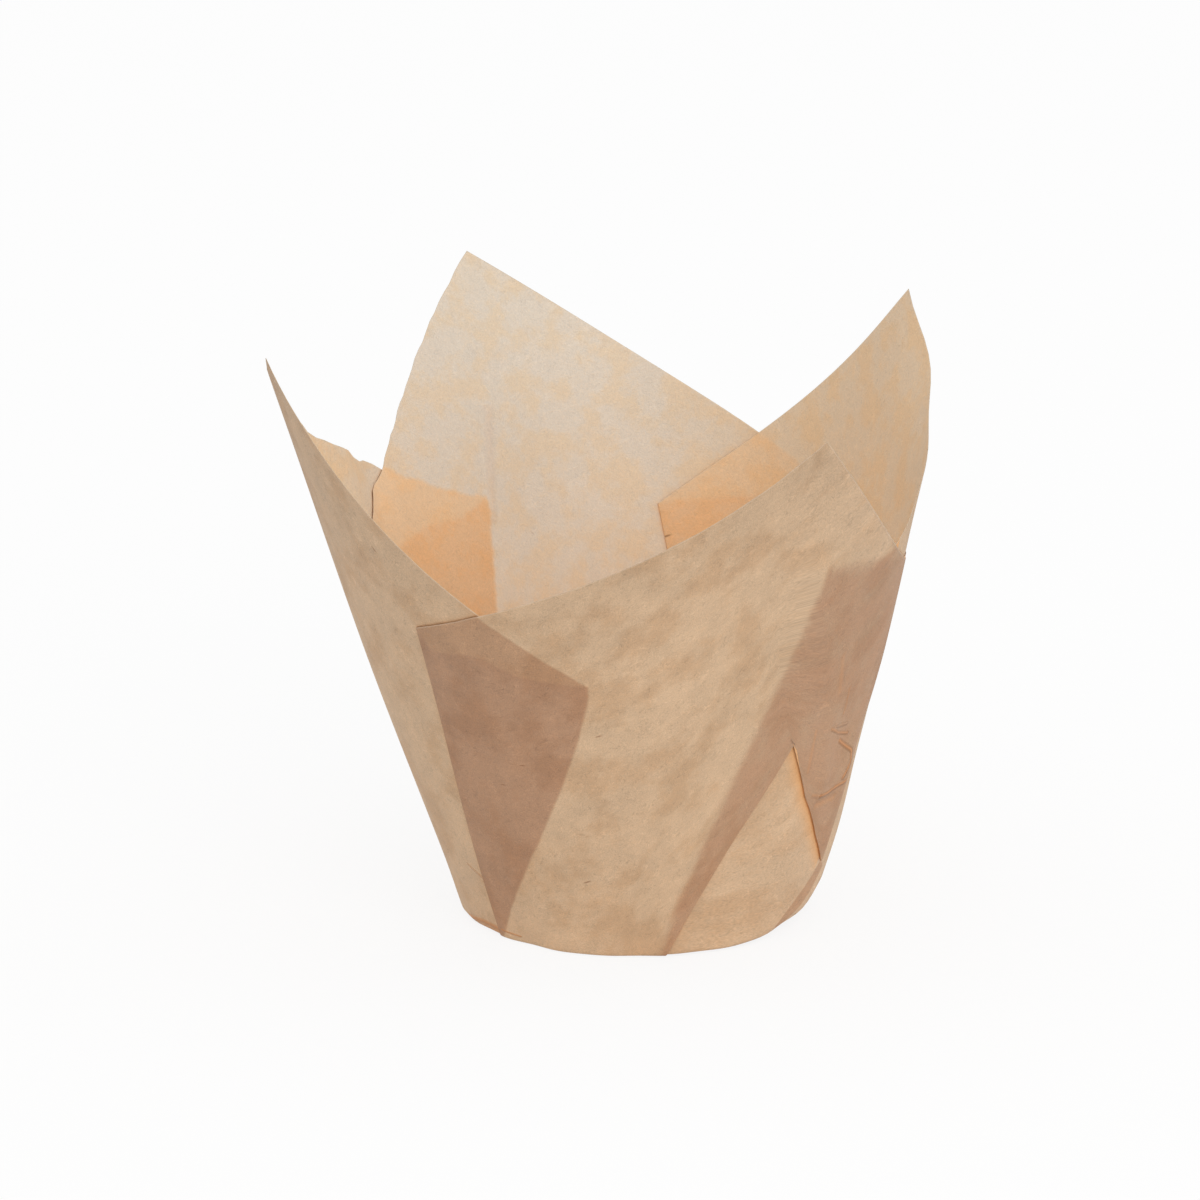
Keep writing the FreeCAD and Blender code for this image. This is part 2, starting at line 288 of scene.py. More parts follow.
columns = layPaper()
pathAngle = np.array([column["angle"] for column in columns])
pathSlant = np.array([column["slant"] for column in columns])
pathOffset = np.array([column["offset"] for column in columns])
pathOffset *= np.interp(pathSlant, [0, paperSizes["rootHeight"]], [paperSizes["rootStep"], 1])
print("liner: %d columns of %d rows" % pathAngle.shape)


def turnAway(angle, other):  # plan angle from another, between -180 and 180 degrees
    return (angle - other + 180) % 360 - 180


def flatDistance(angle, slant, outline):
    # signed distance in mm to an outline on the unrolled wall, more than 0 inside it
    def across(angle, slant):
        return np.radians(angle) * (paperSizes["baseRadius"] + paperSizes["widening"] * slant)

    x = across(angle, slant)
    corners = np.stack([across(*outline.T), outline[:, 1]], -1)
    nearest = np.full(x.shape, 1e9)
    inside = np.zeros(x.shape, bool)
    for (ax, ay), (bx, by) in zip(corners, np.roll(corners, -1, 0)):
        reachX, reachY = bx - ax, by - ay
        part = (x - ax) * reachX + (slant - ay) * reachY
        part = np.clip(part / max(reachX ** 2 + reachY ** 2, 1e-9), 0, 1)
        nearest = np.minimum(nearest, (x - ax - part * reachX) ** 2 + (slant - ay - part * reachY) ** 2)
        if ay != by:
            crosses = (ay > slant) != (by > slant)
            inside ^= crosses & (x < ax + (slant - ay) * reachX / reachY)
    return np.where(inside, 1, -1) * np.sqrt(nearest)


def outlineOf(angle, slant):  # round a panel's columns: up the first, across the top, down the last
    sides = [np.stack([angle[0], slant[0]], -1), np.stack([angle[:, -1], slant[:, -1]], -1)[1:-1],
             np.stack([angle[-1], slant[-1]], -1)[::-1]]
    return np.concatenate([sides[0][::3], sides[0][-1:], sides[1][::2], sides[2][::3], sides[2][-1:]])


farEnough = 10.0               # mm, the distances are cut off there
contactShadowBack = 1.8                 # the painted contact shadow of most pleats stays this far under the covering layer


def layerDistances():
    # for each vertex: distance into the area with a second layer, with three layers, and the
    # distance to the edge of the layer that lies on it, for its outside and for its inside, which places the
    # painted contact shadow
    second, third, onOutside, onInside = [np.full(pathAngle.shape, -farEnough) for _ in range(4)]
    kinds = np.array([column["kind"] for column in columns])
    owners = np.array([column["index"] for column in columns])
    for index, pleat in enumerate(pleats):
        following = (index + 1) % len(petals)
        middle = outlineOf(*middlePanel(index))
        home = np.mean(middle[:, 0])

        def compare(members, outline, store, soft=1.0, depth=farEnough):
            local = turnAway(pathAngle[members], home)
            outline = outline - [home + 360 * round((np.mean(outline[:, 0]) - home) / 360), 0]
            into = flatDistance(local, pathSlant[members], outline) / soft
            store[members] = np.maximum(store[members], np.clip(into, -farEnough, depth))

        before = (owners == index) & (kinds == "petal1")
        after = (owners == following) & (kinds == "petal0")
        beforeOutline = outlineOf(*petalPanel(index, 1))
        afterOutline = outlineOf(*petalPanel(following, 0))
        outerIsBefore = pleat["firstLayer"] > 0
        outer, inner, outerOutline, innerOutline = before, after, beforeOutline, afterOutline
        if not outerIsBefore:
            outer, inner, outerOutline, innerOutline = after, before, afterOutline, beforeOutline
        compare(outer, middle, third, pleat["soft"], pleat["depth"])
        compare(outer, innerOutline, second, pleat["soft"], pleat["depth"])
        compare(inner, middle, third, min(pleat["soft"], 1.0))
        compare(inner, outerOutline, second, min(pleat["soft"], 1.0))
        compare(outer, innerOutline, onInside)
        onInside[outer] -= contactShadowBack
        if pleat["name"] == "frontRight":
            # beside the crisp lower fold there is no painted contact shadow, only beside the mouth
            mouth = [spot["place"] for spot in flapOutline[:flapMouth["spots"]]]
            far, top = flapMouth["farAngle"], flapMouth["topSlant"]
            behind = [(far, mouth[-1][1]), (far, top), (mouth[0][0], top)]
            compare(inner, np.array(mouth + behind), onOutside)
            bare = (turnAway(pathAngle[inner], flapMouth["bareAngle"]) > 0) & (second[inner] < 0)
            onOutside[inner] = np.where(bare, -farEnough, onOutside[inner])
            compare(inner, np.array(hiddenStrip), second, 0.5)
        else:
            compare(inner, outerOutline, onOutside)
            onOutside[inner] -= contactShadowBack
        own = (owners == index) & ((kinds == "middle") | (kinds == "fold0") | (kinds == "fold1"))
        second[own] = third[own] = farEnough
        onOutside[own] = 1
        onInside[own] = 1
    return second, third, onOutside, onInside


layers = layerDistances()
print("liner: layers compared")


def unevenness():  # soft waves, bulges and dents in mm outward, the same in every layer
    turn = np.radians(pathAngle)
    height = pathSlant / paperSizes["cornerSlant"]
    wave = np.zeros_like(turn)
    for k in range(9):
        around = random.integers(2, 9)
        up = random.uniform(1.0, 5.0)
        wave += random.normal() * np.sin(around * turn + up * height * 2 + random.uniform(0, 6.28)) / 3
    wave *= paperSizes["waviness"] * smoothStep(0.05, 0.6, height)
    for dent in dents:
        aside = turnAway(pathAngle, dent["at"][0]) / dent["spread"][0]
        up = (pathSlant - dent["at"][1]) / dent["spread"][1]
        wave += dent["height"] * np.exp(-aside ** 2 - up ** 2)
    return wave * smoothStep(0.0, 6.0, pathSlant)


def rimWaves(angle):  # how far the base crease wanders outward, in mm
    turn = np.radians(angle)
    wave = 0.5 * np.sin(7 * turn + 0.6) + 0.35 * np.sin(12 * turn + 2.4) + 0.3 * np.sin(19 * turn + 4.0)
    return paperSizes["rimWaves"] * wave


def flapOpening():  # the flap's mouth stands off the wall
    count = flapMouth["spots"]
    mouth = np.array([spot["place"] for spot in flapOutline[:count]])
    flapKinds = ("petal1", "fold0", "middle")
    outer = np.array([column["index"] == 3 and column["kind"] in flapKinds for column in columns])
    along = np.linspace(0.2, count - 1, 20)
    away = np.full(pathAngle.shape, 1e9)
    for angle, slant in zip(*[np.interp(along, range(count), places) for places in mouth.T]):
        sideways = turnAway(pathAngle, angle) * flapMouth["degree"]
        away = np.minimum(away, np.hypot(sideways, pathSlant - slant))
    lift = flapMouth["lift"] * np.exp(-(away / flapMouth["reach"]) ** 2)
    return outer[:, None] * lift * smoothStep(1, 8, pathSlant)


def wallSurface():  # middle surface of the paper on the wall, with its rounded corner at the base
    rim = rimWaves(pathAngle)
    fading = rim * np.exp(-(pathSlant / paperSizes["rimHeight"]) ** 2)
    points = wallPoints(pathAngle, pathSlant, pathOffset + unevenness() + flapOpening() + fading)
    base = paperSizes["thickness"] / 2 + paperSizes["layerStep"] - pathOffset
    points[..., 2] += base
    away = turnAway(pathAngle[:, :1], paperSizes["liftedAngle"])
    lifted = np.exp(-(away / paperSizes["liftedSpread"]) ** 2)
    reach = paperSizes["corner"] + (paperSizes["liftedCorner"] - paperSizes["corner"]) * lifted
    foot = np.zeros_like(pathSlant)
    crease = wallPoints(pathAngle, foot, pathOffset + rim)
    inward = wallPoints(pathAngle, foot, pathOffset + rim - reach)
    fading = rim * np.exp(-(reach / paperSizes["rimHeight"]) ** 2)
    top = wallPoints(pathAngle, foot + reach, pathOffset + fading)
    for corner in (crease, top, inward):
        corner[..., 2] += base
    up = (0.5 + 0.5 * pathSlant / reach)[..., None]
    curve = inward * (1 - up) ** 2 + 2 * crease * up * (1 - up) + top * up ** 2
    return np.where((pathSlant < reach)[..., None], curve, points), reach[:, 0]


wall, cornerReach = wallSurface()


def pathTurn():  # angle round the flat sheet of each column, which runs on through the pleats
    middle = wallPoints(pathAngle, 50.0 + 0 * pathSlant, 0 * pathSlant)[:, -1, :2]
    steps = np.linalg.norm(np.roll(middle, -1, 0) - middle, axis=-1)
    along = np.concatenate([[0], np.cumsum(steps)[:-1]])
    return along / steps.sum() * 2 * math.pi


def ringInset(k):  # how far a ring of the base lies in from its crease, in mm
    part = (k / gridSizes["baseRings"]) ** gridSizes["ringCrowding"]
    return part * paperSizes["baseRadius"] * gridSizes["lastRing"]


def baseSurface(reach):  # rings of the base from the corner inward: the pleats flatten out on the way
    count = len(columns)
    rim = np.unwrap(pathAngle[:, 0], period=360)
    even = np.maximum.accumulate(rim) * 0.5 + np.minimum.accumulate(rim[::-1])[::-1] * 0.5
    even = even + np.linspace(-0.5, 0.5, count) * 0.001
    offset = pathOffset[:, 0]
    level = paperSizes["thickness"] / 2 + paperSizes["layerStep"]
    radius = paperSizes["baseRadius"]
    rings = []
    for k in range(1, gridSizes["baseRings"]):
        ring = ringInset(k)
        flat = smoothStep(0, paperSizes["baseGather"], ring)
        settle = smoothStep(paperSizes["baseGather"], 2 * paperSizes["baseGather"], ring)
        angle = np.radians(rim * (1 - flat) + even * flat)
        up = np.clip(0.5 - 0.5 * ring / reach, 0, 1)
        lean = np.radians(between(wallLean, rim))
        top = radius + reach * np.sin(lean)
        curveRadius = (1 - up) ** 2 * (radius - reach) + 2 * up * (1 - up) * radius + up ** 2 * top
        inside = ring > reach
        own = np.where(inside, radius - ring, curveRadius) + offset * (1 - settle)
        own += rimWaves(rim) * (1 - ring / radius)
        height = np.where(inside, 0, up ** 2 * reach * np.cos(lean)) + level - offset * (1 - settle)
        rings.append(np.stack([own * np.cos(angle), own * np.sin(angle), height], -1))
    return rings


rings = baseSurface(cornerReach)


def gridNormals(points):
    around = np.roll(points, -1, 0) - np.roll(points, 1, 0)
    up = np.gradient(points, axis=1)
    normal = np.cross(around, up)
    return normal / np.maximum(np.linalg.norm(normal, axis=-1, keepdims=True), 1e-9)


def addValues(mesh, name, values):  # three numbers for each vertex
    made = mesh.attributes.new(name, "FLOAT_VECTOR", "POINT")
    made.data.foreach_set("vector", np.asarray(values, np.float32).ravel())


def buildLiner():  # one closed skin: outside and inside of the paper, joined along the cut edge
    surface = np.concatenate([np.stack(rings[::-1], 1), wall], 1)
    normal = gridNormals(surface)
    half = paperSizes["thickness"] / 2
    count, rows = surface.shape[:2]
    middle = surface[:, 0].mean(0)
    skins = [(surface + normal * half).reshape(-1, 3), (surface - normal * half).reshape(-1, 3)]
    vertices = np.concatenate(skins + [[middle - [0, 0, half], middle + [0, 0, half]]])
    column = np.arange(count)
    beside = (column + 1) % count

    def at(side, c, r):
        return side * count * rows + c * rows + r

    faces = []
    for row in range(rows - 1):
        for side, near, far in ((0, column, beside), (1, beside, column)):
            faces.extend(zip(at(side, near, row), at(side, far, row),
                             at(side, far, row + 1), at(side, near, row + 1)))
    top = rows - 1
    faces.extend(zip(at(0, column, top), at(0, beside, top), at(1, beside, top), at(1, column, top)))
    last = 2 * count * rows
    faces.extend(zip(np.full(count, last), at(0, beside, 0), at(0, column, 0)))
    faces.extend(zip(np.full(count, last + 1), at(1, column, 0), at(1, beside, 0)))
    mesh = bpy.data.meshes.new("liner")
    mesh.from_pydata(vertices * mm, [], [tuple(int(v) for v in face) for face in faces])
    mesh.polygons.foreach_set("use_smooth", [True] * len(mesh.polygons))

    def withBase(values, fill):  # values of the wall's rows, carried over the base rings
        ring = np.repeat(values[:, :1] * 0 + fill, rows - values.shape[1], 1)
        return np.concatenate([ring, values], 1)

    def bothSides(outside, inside):
        ends = [outside[0, 0], inside[0, 0]]
        return np.concatenate([outside.reshape(-1, 3), inside.reshape(-1, 3), ends])

    baseRows = rows - pathSlant.shape[1]
    inward = -ringInset(np.arange(1, baseRows + 1)[::-1])
    fromCrease = np.concatenate([np.repeat(inward[None], count, 0), pathSlant], 1)   # less than 0 on the base
    toEdge = pathSlant[:, -1:] - pathSlant
    place = np.stack([withBase(pathAngle, pathAngle[:, :1]), fromCrease, withBase(toEdge, 50)], -1)
    addValues(mesh, "wallPlace", bothSides(place, place))
    turn = pathTurn()[:, None]
    across = paperSizes["baseRadius"] + fromCrease
    sheet = np.stack([across * np.cos(turn), across * np.sin(turn), 0 * across], -1)
    addValues(mesh, "sheetPlace", bothSides(sheet, sheet + [0, 0, 1]))
    second, third, onOutside, onInside = [withBase(values, values[:, :1]) for values in layers]
    addValues(mesh, "layers", bothSides(np.stack([second, third, onOutside], -1),
                                        np.stack([second, third, onInside], -1)))
    mesh.update()
    liner = bpy.data.objects.new("foldedLiner", mesh)
    bpy.context.collection.objects.link(liner)
    return liner


liner = buildLiner()
print("liner mesh: %d faces" % len(liner.data.polygons))


class Wire:  # an output of a node, so that shader maths reads like sums

    def __init__(self, tree, socket=None):
        self.tree = tree
        self.socket = socket

    def node(self, kind, settings=None, values=None, output=0):
        made = self.tree.nodes.new(kind)
        for name, value in (settings or {}).items():
            setattr(made, name, value)
        for name, value in (values or {}).items():
            if isinstance(value, Wire):
                self.tree.links.new(value.socket, made.inputs[name])
            else:
                made.inputs[name].default_value = value
        return Wire(self.tree, made.outputs[output])

    def maths(self, operation, *values):
        return self.node("ShaderNodeMath", {"operation": operation}, dict(enumerate(values)))

    def vector(self, operation, *values, output=0):
        return self.node("ShaderNodeVectorMath", {"operation": operation}, dict(enumerate(values)), output)

    def __add__(self, other):
        return self.maths("ADD", self, other)

    def __radd__(self, other):
        return self.maths("ADD", other, self)

    def __sub__(self, other):
        return self.maths("SUBTRACT", self, other)

    def __rsub__(self, other):
        return self.maths("SUBTRACT", other, self)

    def __mul__(self, other):
        return self.maths("MULTIPLY", self, other)

    def __rmul__(self, other):
        return self.maths("MULTIPLY", other, self)

    def __pow__(self, other):
        return self.maths("POWER", self, other)

    def __abs__(self):
        return self.maths("ABSOLUTE", self)

    def least(self, other):
        return self.maths("MINIMUM", self, other)

    def most(self, other):
        return self.maths("MAXIMUM", self, other)

    def rise(self, low, high):  # smooth step from 0 at low to 1 at high
        return self.node("ShaderNodeMapRange", {"interpolation_type": "SMOOTHSTEP"},
                         {"Value": self, "From Min": low, "From Max": high})

    def blend(self, colour, other):  # this factor mixes one colour with another
        return self.node("ShaderNodeMix", {"data_type": "RGBA"}, {0: self, 6: colour, 7: other}, 2)

    def outputs(self):  # all outputs of this one's node
        return [Wire(self.tree, output) for output in self.socket.node.outputs]

    def toLine(self, first, last):  # distance of this place from a line between two places
        reach = last - first
        local = self.vector("SUBTRACT", self, first)
        along = local.vector("DOT_PRODUCT", local, reach / reach.length_squared, output=1)
        part = along.node("ShaderNodeClamp", None, {"Value": along})
        nearest = part.node("ShaderNodeVectorMath", {"operation": "SCALE"}, {0: reach, "Scale": part})
        return local.vector("DISTANCE", local, nearest, output=1)

    def noise(self, scale, detail=2.0, roughness=0.5, distortion=0.0):  # at this place, from -0.5 to 0.5
        return self.node("ShaderNodeTexNoise", None, {"Vector": self, "Scale": scale, "Detail": detail,
                                                      "Roughness": roughness, "Distortion": distortion}) - 0.5

    def turned(self, turn, scale):  # this place on the sheet, turned and stretched
        return self.node("ShaderNodeMapping", {"vector_type": "POINT"},
                         {"Vector": self, "Rotation": (0, 0, turn), "Scale": scale})


def screen(colour):  # linear colour of a colour as a screen shows it, 0 to 255
    def linear(part):
        return part / 12.92 if part <= 0.04045 else ((part + 0.055) / 1.055) ** 2.4

    return tuple(linear(value / 255) for value in colour) + (1.0,)


# Colours are as a screen shows them.
parchment = {
    "outside": (201, 171, 139),        # one layer
    "outsideTwo": (181, 143, 111),     # over one more layer: painted shade, less light comes through
    "outsideThree": (174, 136, 107),   # over two more layers: painted shade, still less light comes through
    # painted light: the inside is the same paper as the outside, drawn paler
    "inside": (220, 199, 172),
    "insideLit": (215, 204, 189),     # painted light: the same where light comes through the back petal
    # painted light through the paper: the inside is oranger where more layers lie behind it
    "insideTwo": (226, 196, 161),
    "insideThree": (225, 188, 149),
    # painted highlight along the cut edge, where its thin side catches the light
    "edgeHighlight": (224, 202, 176),
    "edgeHighlightPart": 0.35,
    "edgeHighlightReach": (0.05, 0.22),      # mm from the edge where its colour starts to fade and ends
    "contactShadow": (226, 164, 100),           # painted contact shadow beside a layer that lies on this one, orange as painted light through the paper
    "contactShadowPart": 0.75,
    "contactShadowReach": (-4.0, 0.4),          # mm from the edge of that layer
    "fleck": (128, 84, 50),
    "fleckPart": 0.65,
    # painted shade along the creases
    "crease": (206, 143, 92),
    "creasePart": 0.8,
    "litPatchAt": (128.0, 62.0),           # plan angle and slant of the middle of the painted light patch
    "litPatchReach": (17.0, 44.2),         # mm from there where it starts to fade and where it ends
    "secondEdge": (-0.4, 0.45),        # mm over which a second layer shows through
    "thirdEdge": (-0.6, 0.6),
    "edgeWander": 1.0,                 # how far the layers' edges wander with the clouds, in mm
    "roughness": 0.62,
    "specular": 0.3,
}

# Noises on the flat sheet: scale for each mm, detail, roughness, distortion.
paperNoise = {
    "clouds": (0.2, 4.0, 0.62),
    "otherClouds": (0.13, 4.0, 0.6),
    "wide": (0.035, 0.0),
    "matted": (1.5, 3.0, 0.7, 2.0),
    "grain": (4.5, 1.0, 0.6),
    "fibres": (1.0, 2.0, 0.65, 1.0),
}
fibreStretch = {"turn": 0.7, "scale": (0.5, 1.7, 1.0)}
hairSizes = {"dark": 0.75, "light": 0.6}
shifts = {"clouds": (70, 30, 10), "hairs": (31, 77, 5)}    # to take the same noise elsewhere

# Clouds that stain the paper: what they multiply its colour by, and from where to where in the
# noises the stain grows to its part.
stains = {
    "inside": {"tint": (0.99, 0.86, 0.68), "clouds": (-0.08, 0.12), "cloudsPart": 0.55,
               "matted": (-0.1, 0.2), "mattedPart": 0.2},
    "outside": {"tint": (0.86, 0.78, 0.7), "clouds": (-0.08, 0.14), "cloudsPart": 0.65,
                "matted": (-0.05, 0.2), "mattedPart": 0.35},
}

# What makes the paper lighter and darker, some of it painted light and shade, and what is raised on it, in
# mm.
tones = {
    "level": 1.05,
    "topLoss": 0.26,                   # painted shade: the outside is darker up the wall
    "footGain": 0.08,                  # painted light: the lowest mm are lighter
    "footHeight": 9.0,
    "deepGain": 0.2,                   # light comes through the single sheet deep inside
    "deepSlants": (20.0, 65.0),
    "fibres": 0.14,
    "matted": 0.55,
    "grain": 0.45,
    "lightHairs": 0.13,
    "darkHairs": 0.16,
    "insideLoss": 0.5,                 # how much less of these five the inside has
    "wide": 0.16,
    "clouds": 0.4,
    "cloudsInside": 0.2,
}
relief = {"clouds": 0.12, "matted": 0.08, "grain": 0.03, "creases": 0.5, "strength": 0.9,
          "cloudsRough": 0.15, "mattedRough": 0.2}

# Short dark fibres in two directions: turn on the sheet and the share of places that have none.
fleckKinds = [{"turn": 2.2, "none": 0.62}, {"turn": 0.9, "none": 0.68}]
fleckStretch = (0.07, 0.3, 1.0)

# Sharp little creases, mostly where the front right pleat was crushed: plan angle and slant
# of their places, width in mm, height and how strongly they are coloured with painted shade. Ten
# more lines still render, but many more are too much for one shader, and Cycles then draws the paper black.
creaseLines = [
    {"places": [(349.9, 23.8), (352.1, 25.9), (351.4, 27.9), (344.4, 30.5)],
     "width": 0.55, "height": 0.9, "tint": 1.0},
    {"places": [(338.5, 22.8), (342.4, 22.6), (353.0, 23.0)], "width": 0.5, "height": 0.8, "tint": 0.9},
    {"places": [(334.6, 23.5), (338.5, 22.8)], "width": 0.6, "height": 0.5, "tint": 0.35},
    {"places": [(336.7, 33.7), (342.3, 32.1), (348.0, 31.1)], "width": 0.45, "height": 0.6, "tint": 0.6},
    {"places": [(338.3, 33.7), (345.8, 33.0)], "width": 0.5, "height": 0.6, "tint": 0.12},
    {"places": [(330.2, 28.1), (330.2, 34.4)], "width": 0.7, "height": 0.4, "tint": 0.35},
    {"places": [(341.3, 35.4), (340.5, 39.4)], "width": 0.6, "height": 0.4, "tint": 0.3},
    {"places": [(336.0, 39.8), (334.0, 45.5)], "width": 0.8, "height": 0.3, "tint": 0.3},
    {"places": [(337.4, 21.6), (347.0, 21.2)], "width": 1.0, "height": -0.6, "tint": 0.4},
    {"places": [(133.8, 66.5), (137.5, 50.0)], "width": 0.9, "height": 0.4, "tint": 0.12},
    {"places": [(230.1, 11.6), (236.4, 9.9)], "width": 0.4, "height": 0.4, "tint": 0.5},
    {"places": [(213.0, 0.4), (225.3, 1.2), (235.0, 1.2)], "width": 0.6, "height": 0.5, "tint": 0.9},
    {"places": [(213.0, -0.6), (233.0, 0.3)], "width": 1.3, "height": 0.0, "tint": 0.8},
    {"places": [(236.9, 1.5), (245.0, 1.2)], "width": 0.3, "height": 0.3, "tint": 1.0},
]
creaseDegree = 0.6                     # mm round the wall for each degree, about where they are
litPatchDegree = 0.775                     # the same where the painted light patch is


def stained(colour, stain, clouds, matted, where):  # the colour with a stain where the mask is 1
    part = clouds.rise(*stain["clouds"]) * stain["cloudsPart"]
    part = part + matted.rise(*stain["matted"]) * stain["mattedPart"]
    return (part * where).blend(colour, colour.vector("MULTIPLY", colour, stain["tint"]))


def curledHairs(place, scale):  # thin curled lines in scattered patches
    lines = place.noise(scale, 1.0, 0.5, 1.2)
    patches = place.noise(scale * 0.7, 1.0).rise(-0.02, 0.08)
    return (1 - abs(lines).rise(0.0, 0.03)) * patches


def darkFlecks(sheet):
    most = None
    for kind in fleckKinds:
        cells = sheet.node("ShaderNodeTexVoronoi", {"feature": "F1"},
                           {"Vector": sheet.turned(kind["turn"], fleckStretch), "Scale": 1.0})
        chance = cells.node("ShaderNodeSeparateColor", None, {0: cells.outputs()[1]})
        fleck = (1 - cells.rise(0.02, 0.06)) * chance.rise(kind["none"], kind["none"] + 0.02)
        most = fleck if most is None else most.most(fleck)
    return most


def sharpCreases(angle, slant):  # how strongly the paper is coloured with painted shade and raised by the creases
    place = angle.node("ShaderNodeCombineXYZ", None, {"X": angle * creaseDegree, "Y": slant})
    tint = ridges = 0.0
    for line in creaseLines:
        spots = [Vector((spotAngle * creaseDegree, spotSlant, 0)) for spotAngle, spotSlant in line["places"]]
        away = None
        for first, last in zip(spots, spots[1:]):
            miss = place.toLine(first, last)
            away = miss if away is None else away.least(miss)
        ridge = 1 - away.rise(0.0, line["width"])
        tint = tint + ridge * line["tint"]
        ridges = ridges + ridge * line["height"]
    return tint, ridges


# painted light: a pale patch on the back petal's inside, where light comes through it
def paintedLitPatch(angle, slant):
    place = angle.node("ShaderNodeCombineXYZ", None, {"X": angle * litPatchDegree, "Y": slant})
    middle = (parchment["litPatchAt"][0] * litPatchDegree, parchment["litPatchAt"][1], 0)
    return 1 - place.vector("DISTANCE", place, middle, output=1).rise(*parchment["litPatchReach"])


def makeParchment():
    paper = bpy.data.materials.new("parchment")
    paper.use_nodes = True
    tree = paper.node_tree
    start = Wire(tree)
    shader = tree.nodes["Principled BSDF"]

    def look(name):
        return screen(parchment[name])

    def values(name):
        vector = start.node("ShaderNodeAttribute", {"attribute_name": name}, None, "Vector")
        return [vector] + vector.node("ShaderNodeSeparateXYZ", None, {0: vector}).outputs()

    sheet, _, _, side = values("sheetPlace")
    _, second, third, cover = values("layers")
    _, angle, slant, toEdge = values("wallPlace")

    # paper: clouds of a few mm, matted fibres, fine grain, curled hairs
    clouds = sheet.noise(*paperNoise["clouds"])
    other = sheet.vector("ADD", sheet, shifts["clouds"]).noise(*paperNoise["otherClouds"])
    wide = sheet.noise(*paperNoise["wide"])
    matted = sheet.noise(*paperNoise["matted"])
    grain = sheet.noise(*paperNoise["grain"])
    fibres = sheet.turned(fibreStretch["turn"], fibreStretch["scale"]).noise(*paperNoise["fibres"])
    darkHairs = curledHairs(sheet, hairSizes["dark"])
    lightHairs = curledHairs(sheet.vector("ADD", sheet, shifts["hairs"]), hairSizes["light"])

    # colours of one, two and three layers on either side: painted shade and painted light through the paper
    wander = clouds * parchment["edgeWander"]
    two = (second + wander).rise(*parchment["secondEdge"])
    three = (third + wander).rise(*parchment["thirdEdge"])
    outside = three.blend(two.blend(look("outside"), look("outsideTwo")), look("outsideThree"))
    inside = paintedLitPatch(angle, slant).blend(look("inside"), look("insideLit"))
    inside = three.blend(two.blend(inside, look("insideTwo")), look("insideThree"))
    onInside = side.rise(0.45, 0.55)
    onOutside = 1 - onInside
    # painted light: the inside is drawn paler than the outside
    colour = onInside.blend(outside, inside)
    colour = stained(colour, stains["inside"], clouds, matted, onInside)
    colour = stained(colour, stains["outside"], other, matted, onOutside)

    fine = (fibres * tones["fibres"] + matted * tones["matted"] + grain * tones["grain"]
            + lightHairs * tones["lightHairs"] - darkHairs * tones["darkHairs"])
    # painted light and shade: darker up the outside, lighter at the foot and deep inside; the rest is the
    # paper's own fibres, grain and clouds
    tone = (tones["level"] - (slant * 0.01) ** 2.0 * tones["topLoss"] * onOutside
            + (1 - slant.rise(0.0, tones["footHeight"])) * tones["footGain"]
            + (1 - slant.rise(*tones["deepSlants"])) * tones["deepGain"] * onInside * (1 - two)
            + fine * (1 - onInside * tones["insideLoss"]) + wide * tones["wide"]
            + clouds * (tones["clouds"] - onInside * tones["cloudsInside"]))
    grey = tone.node("ShaderNodeCombineXYZ", None, {"X": tone, "Y": tone, "Z": tone})
    colour = colour.vector("MULTIPLY", colour, grey)

    # painted contact shadow in the corner beside a covering layer, orange as painted light through the paper;
    # painted highlight of the cut edge; flecks; and creases with painted shade
    contactShadow = cover.rise(*parchment["contactShadowReach"]) ** 2.0
    colour = (contactShadow * parchment["contactShadowPart"]).blend(colour, look("contactShadow"))
    # painted highlight along the cut edge
    edgeHighlight = 1 - toEdge.rise(*parchment["edgeHighlightReach"])
    colour = (edgeHighlight * parchment["edgeHighlightPart"]).blend(colour, look("edgeHighlight"))
    colour = (darkFlecks(sheet) * parchment["fleckPart"]).blend(colour, look("fleck"))
    # painted shade along the creases, with their ridges in the bump
    tint, ridges = sharpCreases(angle, slant)
    colour = (tint * parchment["creasePart"]).least(0.9).blend(colour, look("crease"))

    height = (clouds * relief["clouds"] + matted * relief["matted"] + grain * relief["grain"]
              + ridges * relief["creases"])
    bump = height.node("ShaderNodeBump", None,
                       {"Height": height, "Strength": relief["strength"], "Distance": mm})
    rough = parchment["roughness"] + matted * relief["mattedRough"] + clouds * relief["cloudsRough"]
    for name, value in (("Base Color", colour), ("Roughness", rough), ("Normal", bump)):
        tree.links.new(value.socket, shader.inputs[name])
    shader.inputs["Specular IOR Level"].default_value = parchment["specular"]
    return paper


liner.data.materials.append(makeParchment())
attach(liner, "root")
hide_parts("liner")
print("liner: parchment made")

room = {
    "floorSize": 6.0,
    "floorTone": 0.93,
    "plainPart": 0.85,         # how much of the floor's look is plain white, the rest takes the shadow
    "skyLevel": 0.9,
    "lampLevel": 5.0,
    "lampSize": 0.9,
    "lampAt": (0.85, -1.0, 0.6),
}


def seenDirectly(start):  # 1 for rays from the camera, mirrors and glass
    rays = {ray.socket.name: ray for ray in start.node("ShaderNodeLightPath").outputs()}
    return rays["Is Camera Ray"].most(rays["Is Glossy Ray"]).most(rays["Is Transmission Ray"])


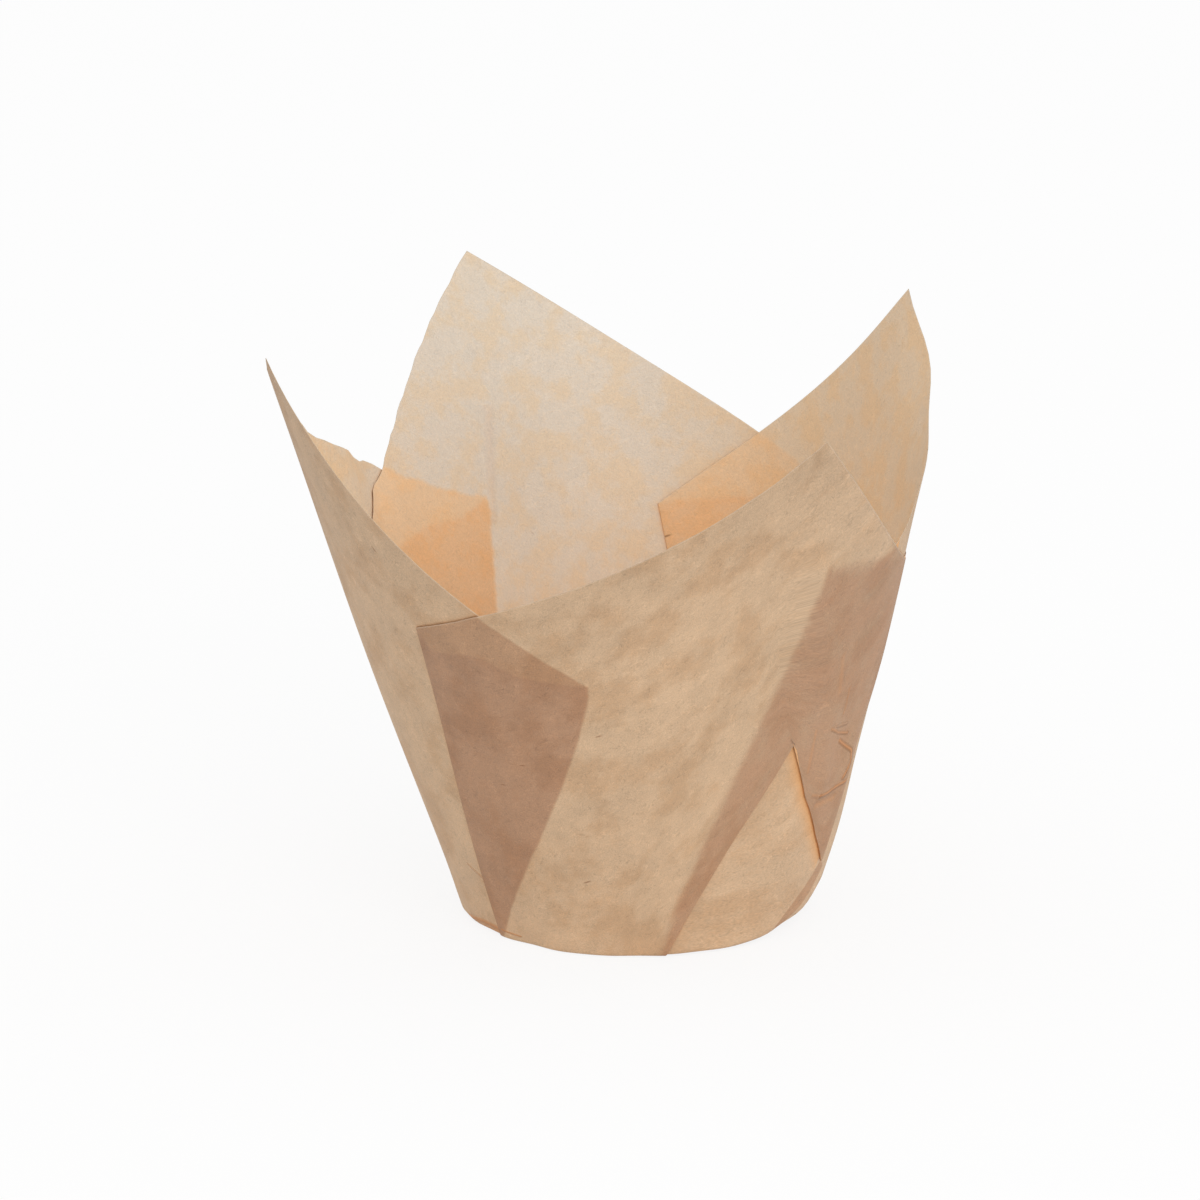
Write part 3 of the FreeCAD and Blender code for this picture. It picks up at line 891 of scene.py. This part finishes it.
def addFloor():
    half = room["floorSize"] / 2
    mesh = bpy.data.meshes.new("floor")
    corners = [(-half, -half, 0), (half, -half, 0), (half, half, 0), (-half, half, 0)]
    mesh.from_pydata(corners, [], [(0, 1, 2, 3)])
    floor = bpy.data.objects.new("floor", mesh)
    bpy.context.collection.objects.link(floor)
    white = bpy.data.materials.new("paleFloor")
    white.use_nodes = True
    mesh.materials.append(white)
    tree = white.node_tree
    tree.nodes.remove(tree.nodes["Principled BSDF"])
    start = Wire(tree)
    place = start.node("ShaderNodeNewGeometry", None, None, "Position")
    tone = room["floorTone"] + place.noise(9.0, 3.0) * 0.02
    colour = start.node("ShaderNodeCombineColor", None, {"Red": tone, "Green": tone, "Blue": tone})
    matte = start.node("ShaderNodeBsdfDiffuse", None, {"Color": colour})
    plain = start.node("ShaderNodeEmission", None, {"Color": (1, 1, 1, 1), "Strength": 1.0})
    plainPart = seenDirectly(start) * room["plainPart"]
    mixed = start.node("ShaderNodeMixShader", None, {0: plainPart, 1: matte, 2: plain})
    tree.links.new(mixed.socket, tree.nodes["Material Output"].inputs["Surface"])


addFloor()

view = {
    "azimuth": 15.7,
    "elevation": 15.32,
    "distance": 910.0,         # mm from the middle of the base
    "scale": 6.96,             # pixels for each mm there, in a picture 1200 pixels wide
    "baseAt": (637.76, 901.86),
    "picture": 1200,
    "sensor": 36.0,
}


def addCamera():
    turn = math.radians(view["azimuth"])
    rise = math.radians(view["elevation"])
    back = Vector((math.sin(turn) * math.cos(rise), -math.cos(turn) * math.cos(rise), math.sin(rise)))
    right = Vector((math.cos(turn), math.sin(turn), 0))
    up = back.cross(right)
    middle = view["picture"] / 2
    aside = (view["baseAt"][0] - middle) / view["scale"]
    below = (view["baseAt"][1] - middle) / view["scale"]
    data = bpy.data.cameras.new("camera")
    data.sensor_width = view["sensor"]
    data.lens = view["scale"] * view["distance"] / view["picture"] * view["sensor"]
    camera = bpy.data.objects.new("camera", data)
    camera.matrix_world = Matrix((right, up, back)).transposed().to_4x4()
    camera.location = (back * view["distance"] - right * aside + up * below) * mm
    bpy.context.collection.objects.link(camera)
    bpy.context.scene.camera = camera


addCamera()


def addLight():
    world = bpy.data.worlds.new("studio")
    bpy.context.scene.world = world
    world.use_nodes = True
    tree = world.node_tree
    start = Wire(tree)
    direct = seenDirectly(start)
    level = room["skyLevel"] + direct * (1 - room["skyLevel"])
    tree.nodes["Background"].inputs["Color"].default_value = (1, 1, 1, 1)
    tree.links.new(level.socket, tree.nodes["Background"].inputs["Strength"])
    lamp = bpy.data.lights.new("softBox", "AREA")
    lamp.shape = "SQUARE"
    lamp.size = room["lampSize"]
    lamp.energy = room["lampLevel"]
    softBox = bpy.data.objects.new("softBox", lamp)
    softBox.location = room["lampAt"]
    softBox.rotation_euler = (Vector((0, 0, 0.04)) - softBox.location).to_track_quat("-Z", "Y").to_euler()
    bpy.context.collection.objects.link(softBox)
    bpy.context.scene.view_settings.view_transform = "Standard"


addLight()
print("studio: floor, camera and light set")
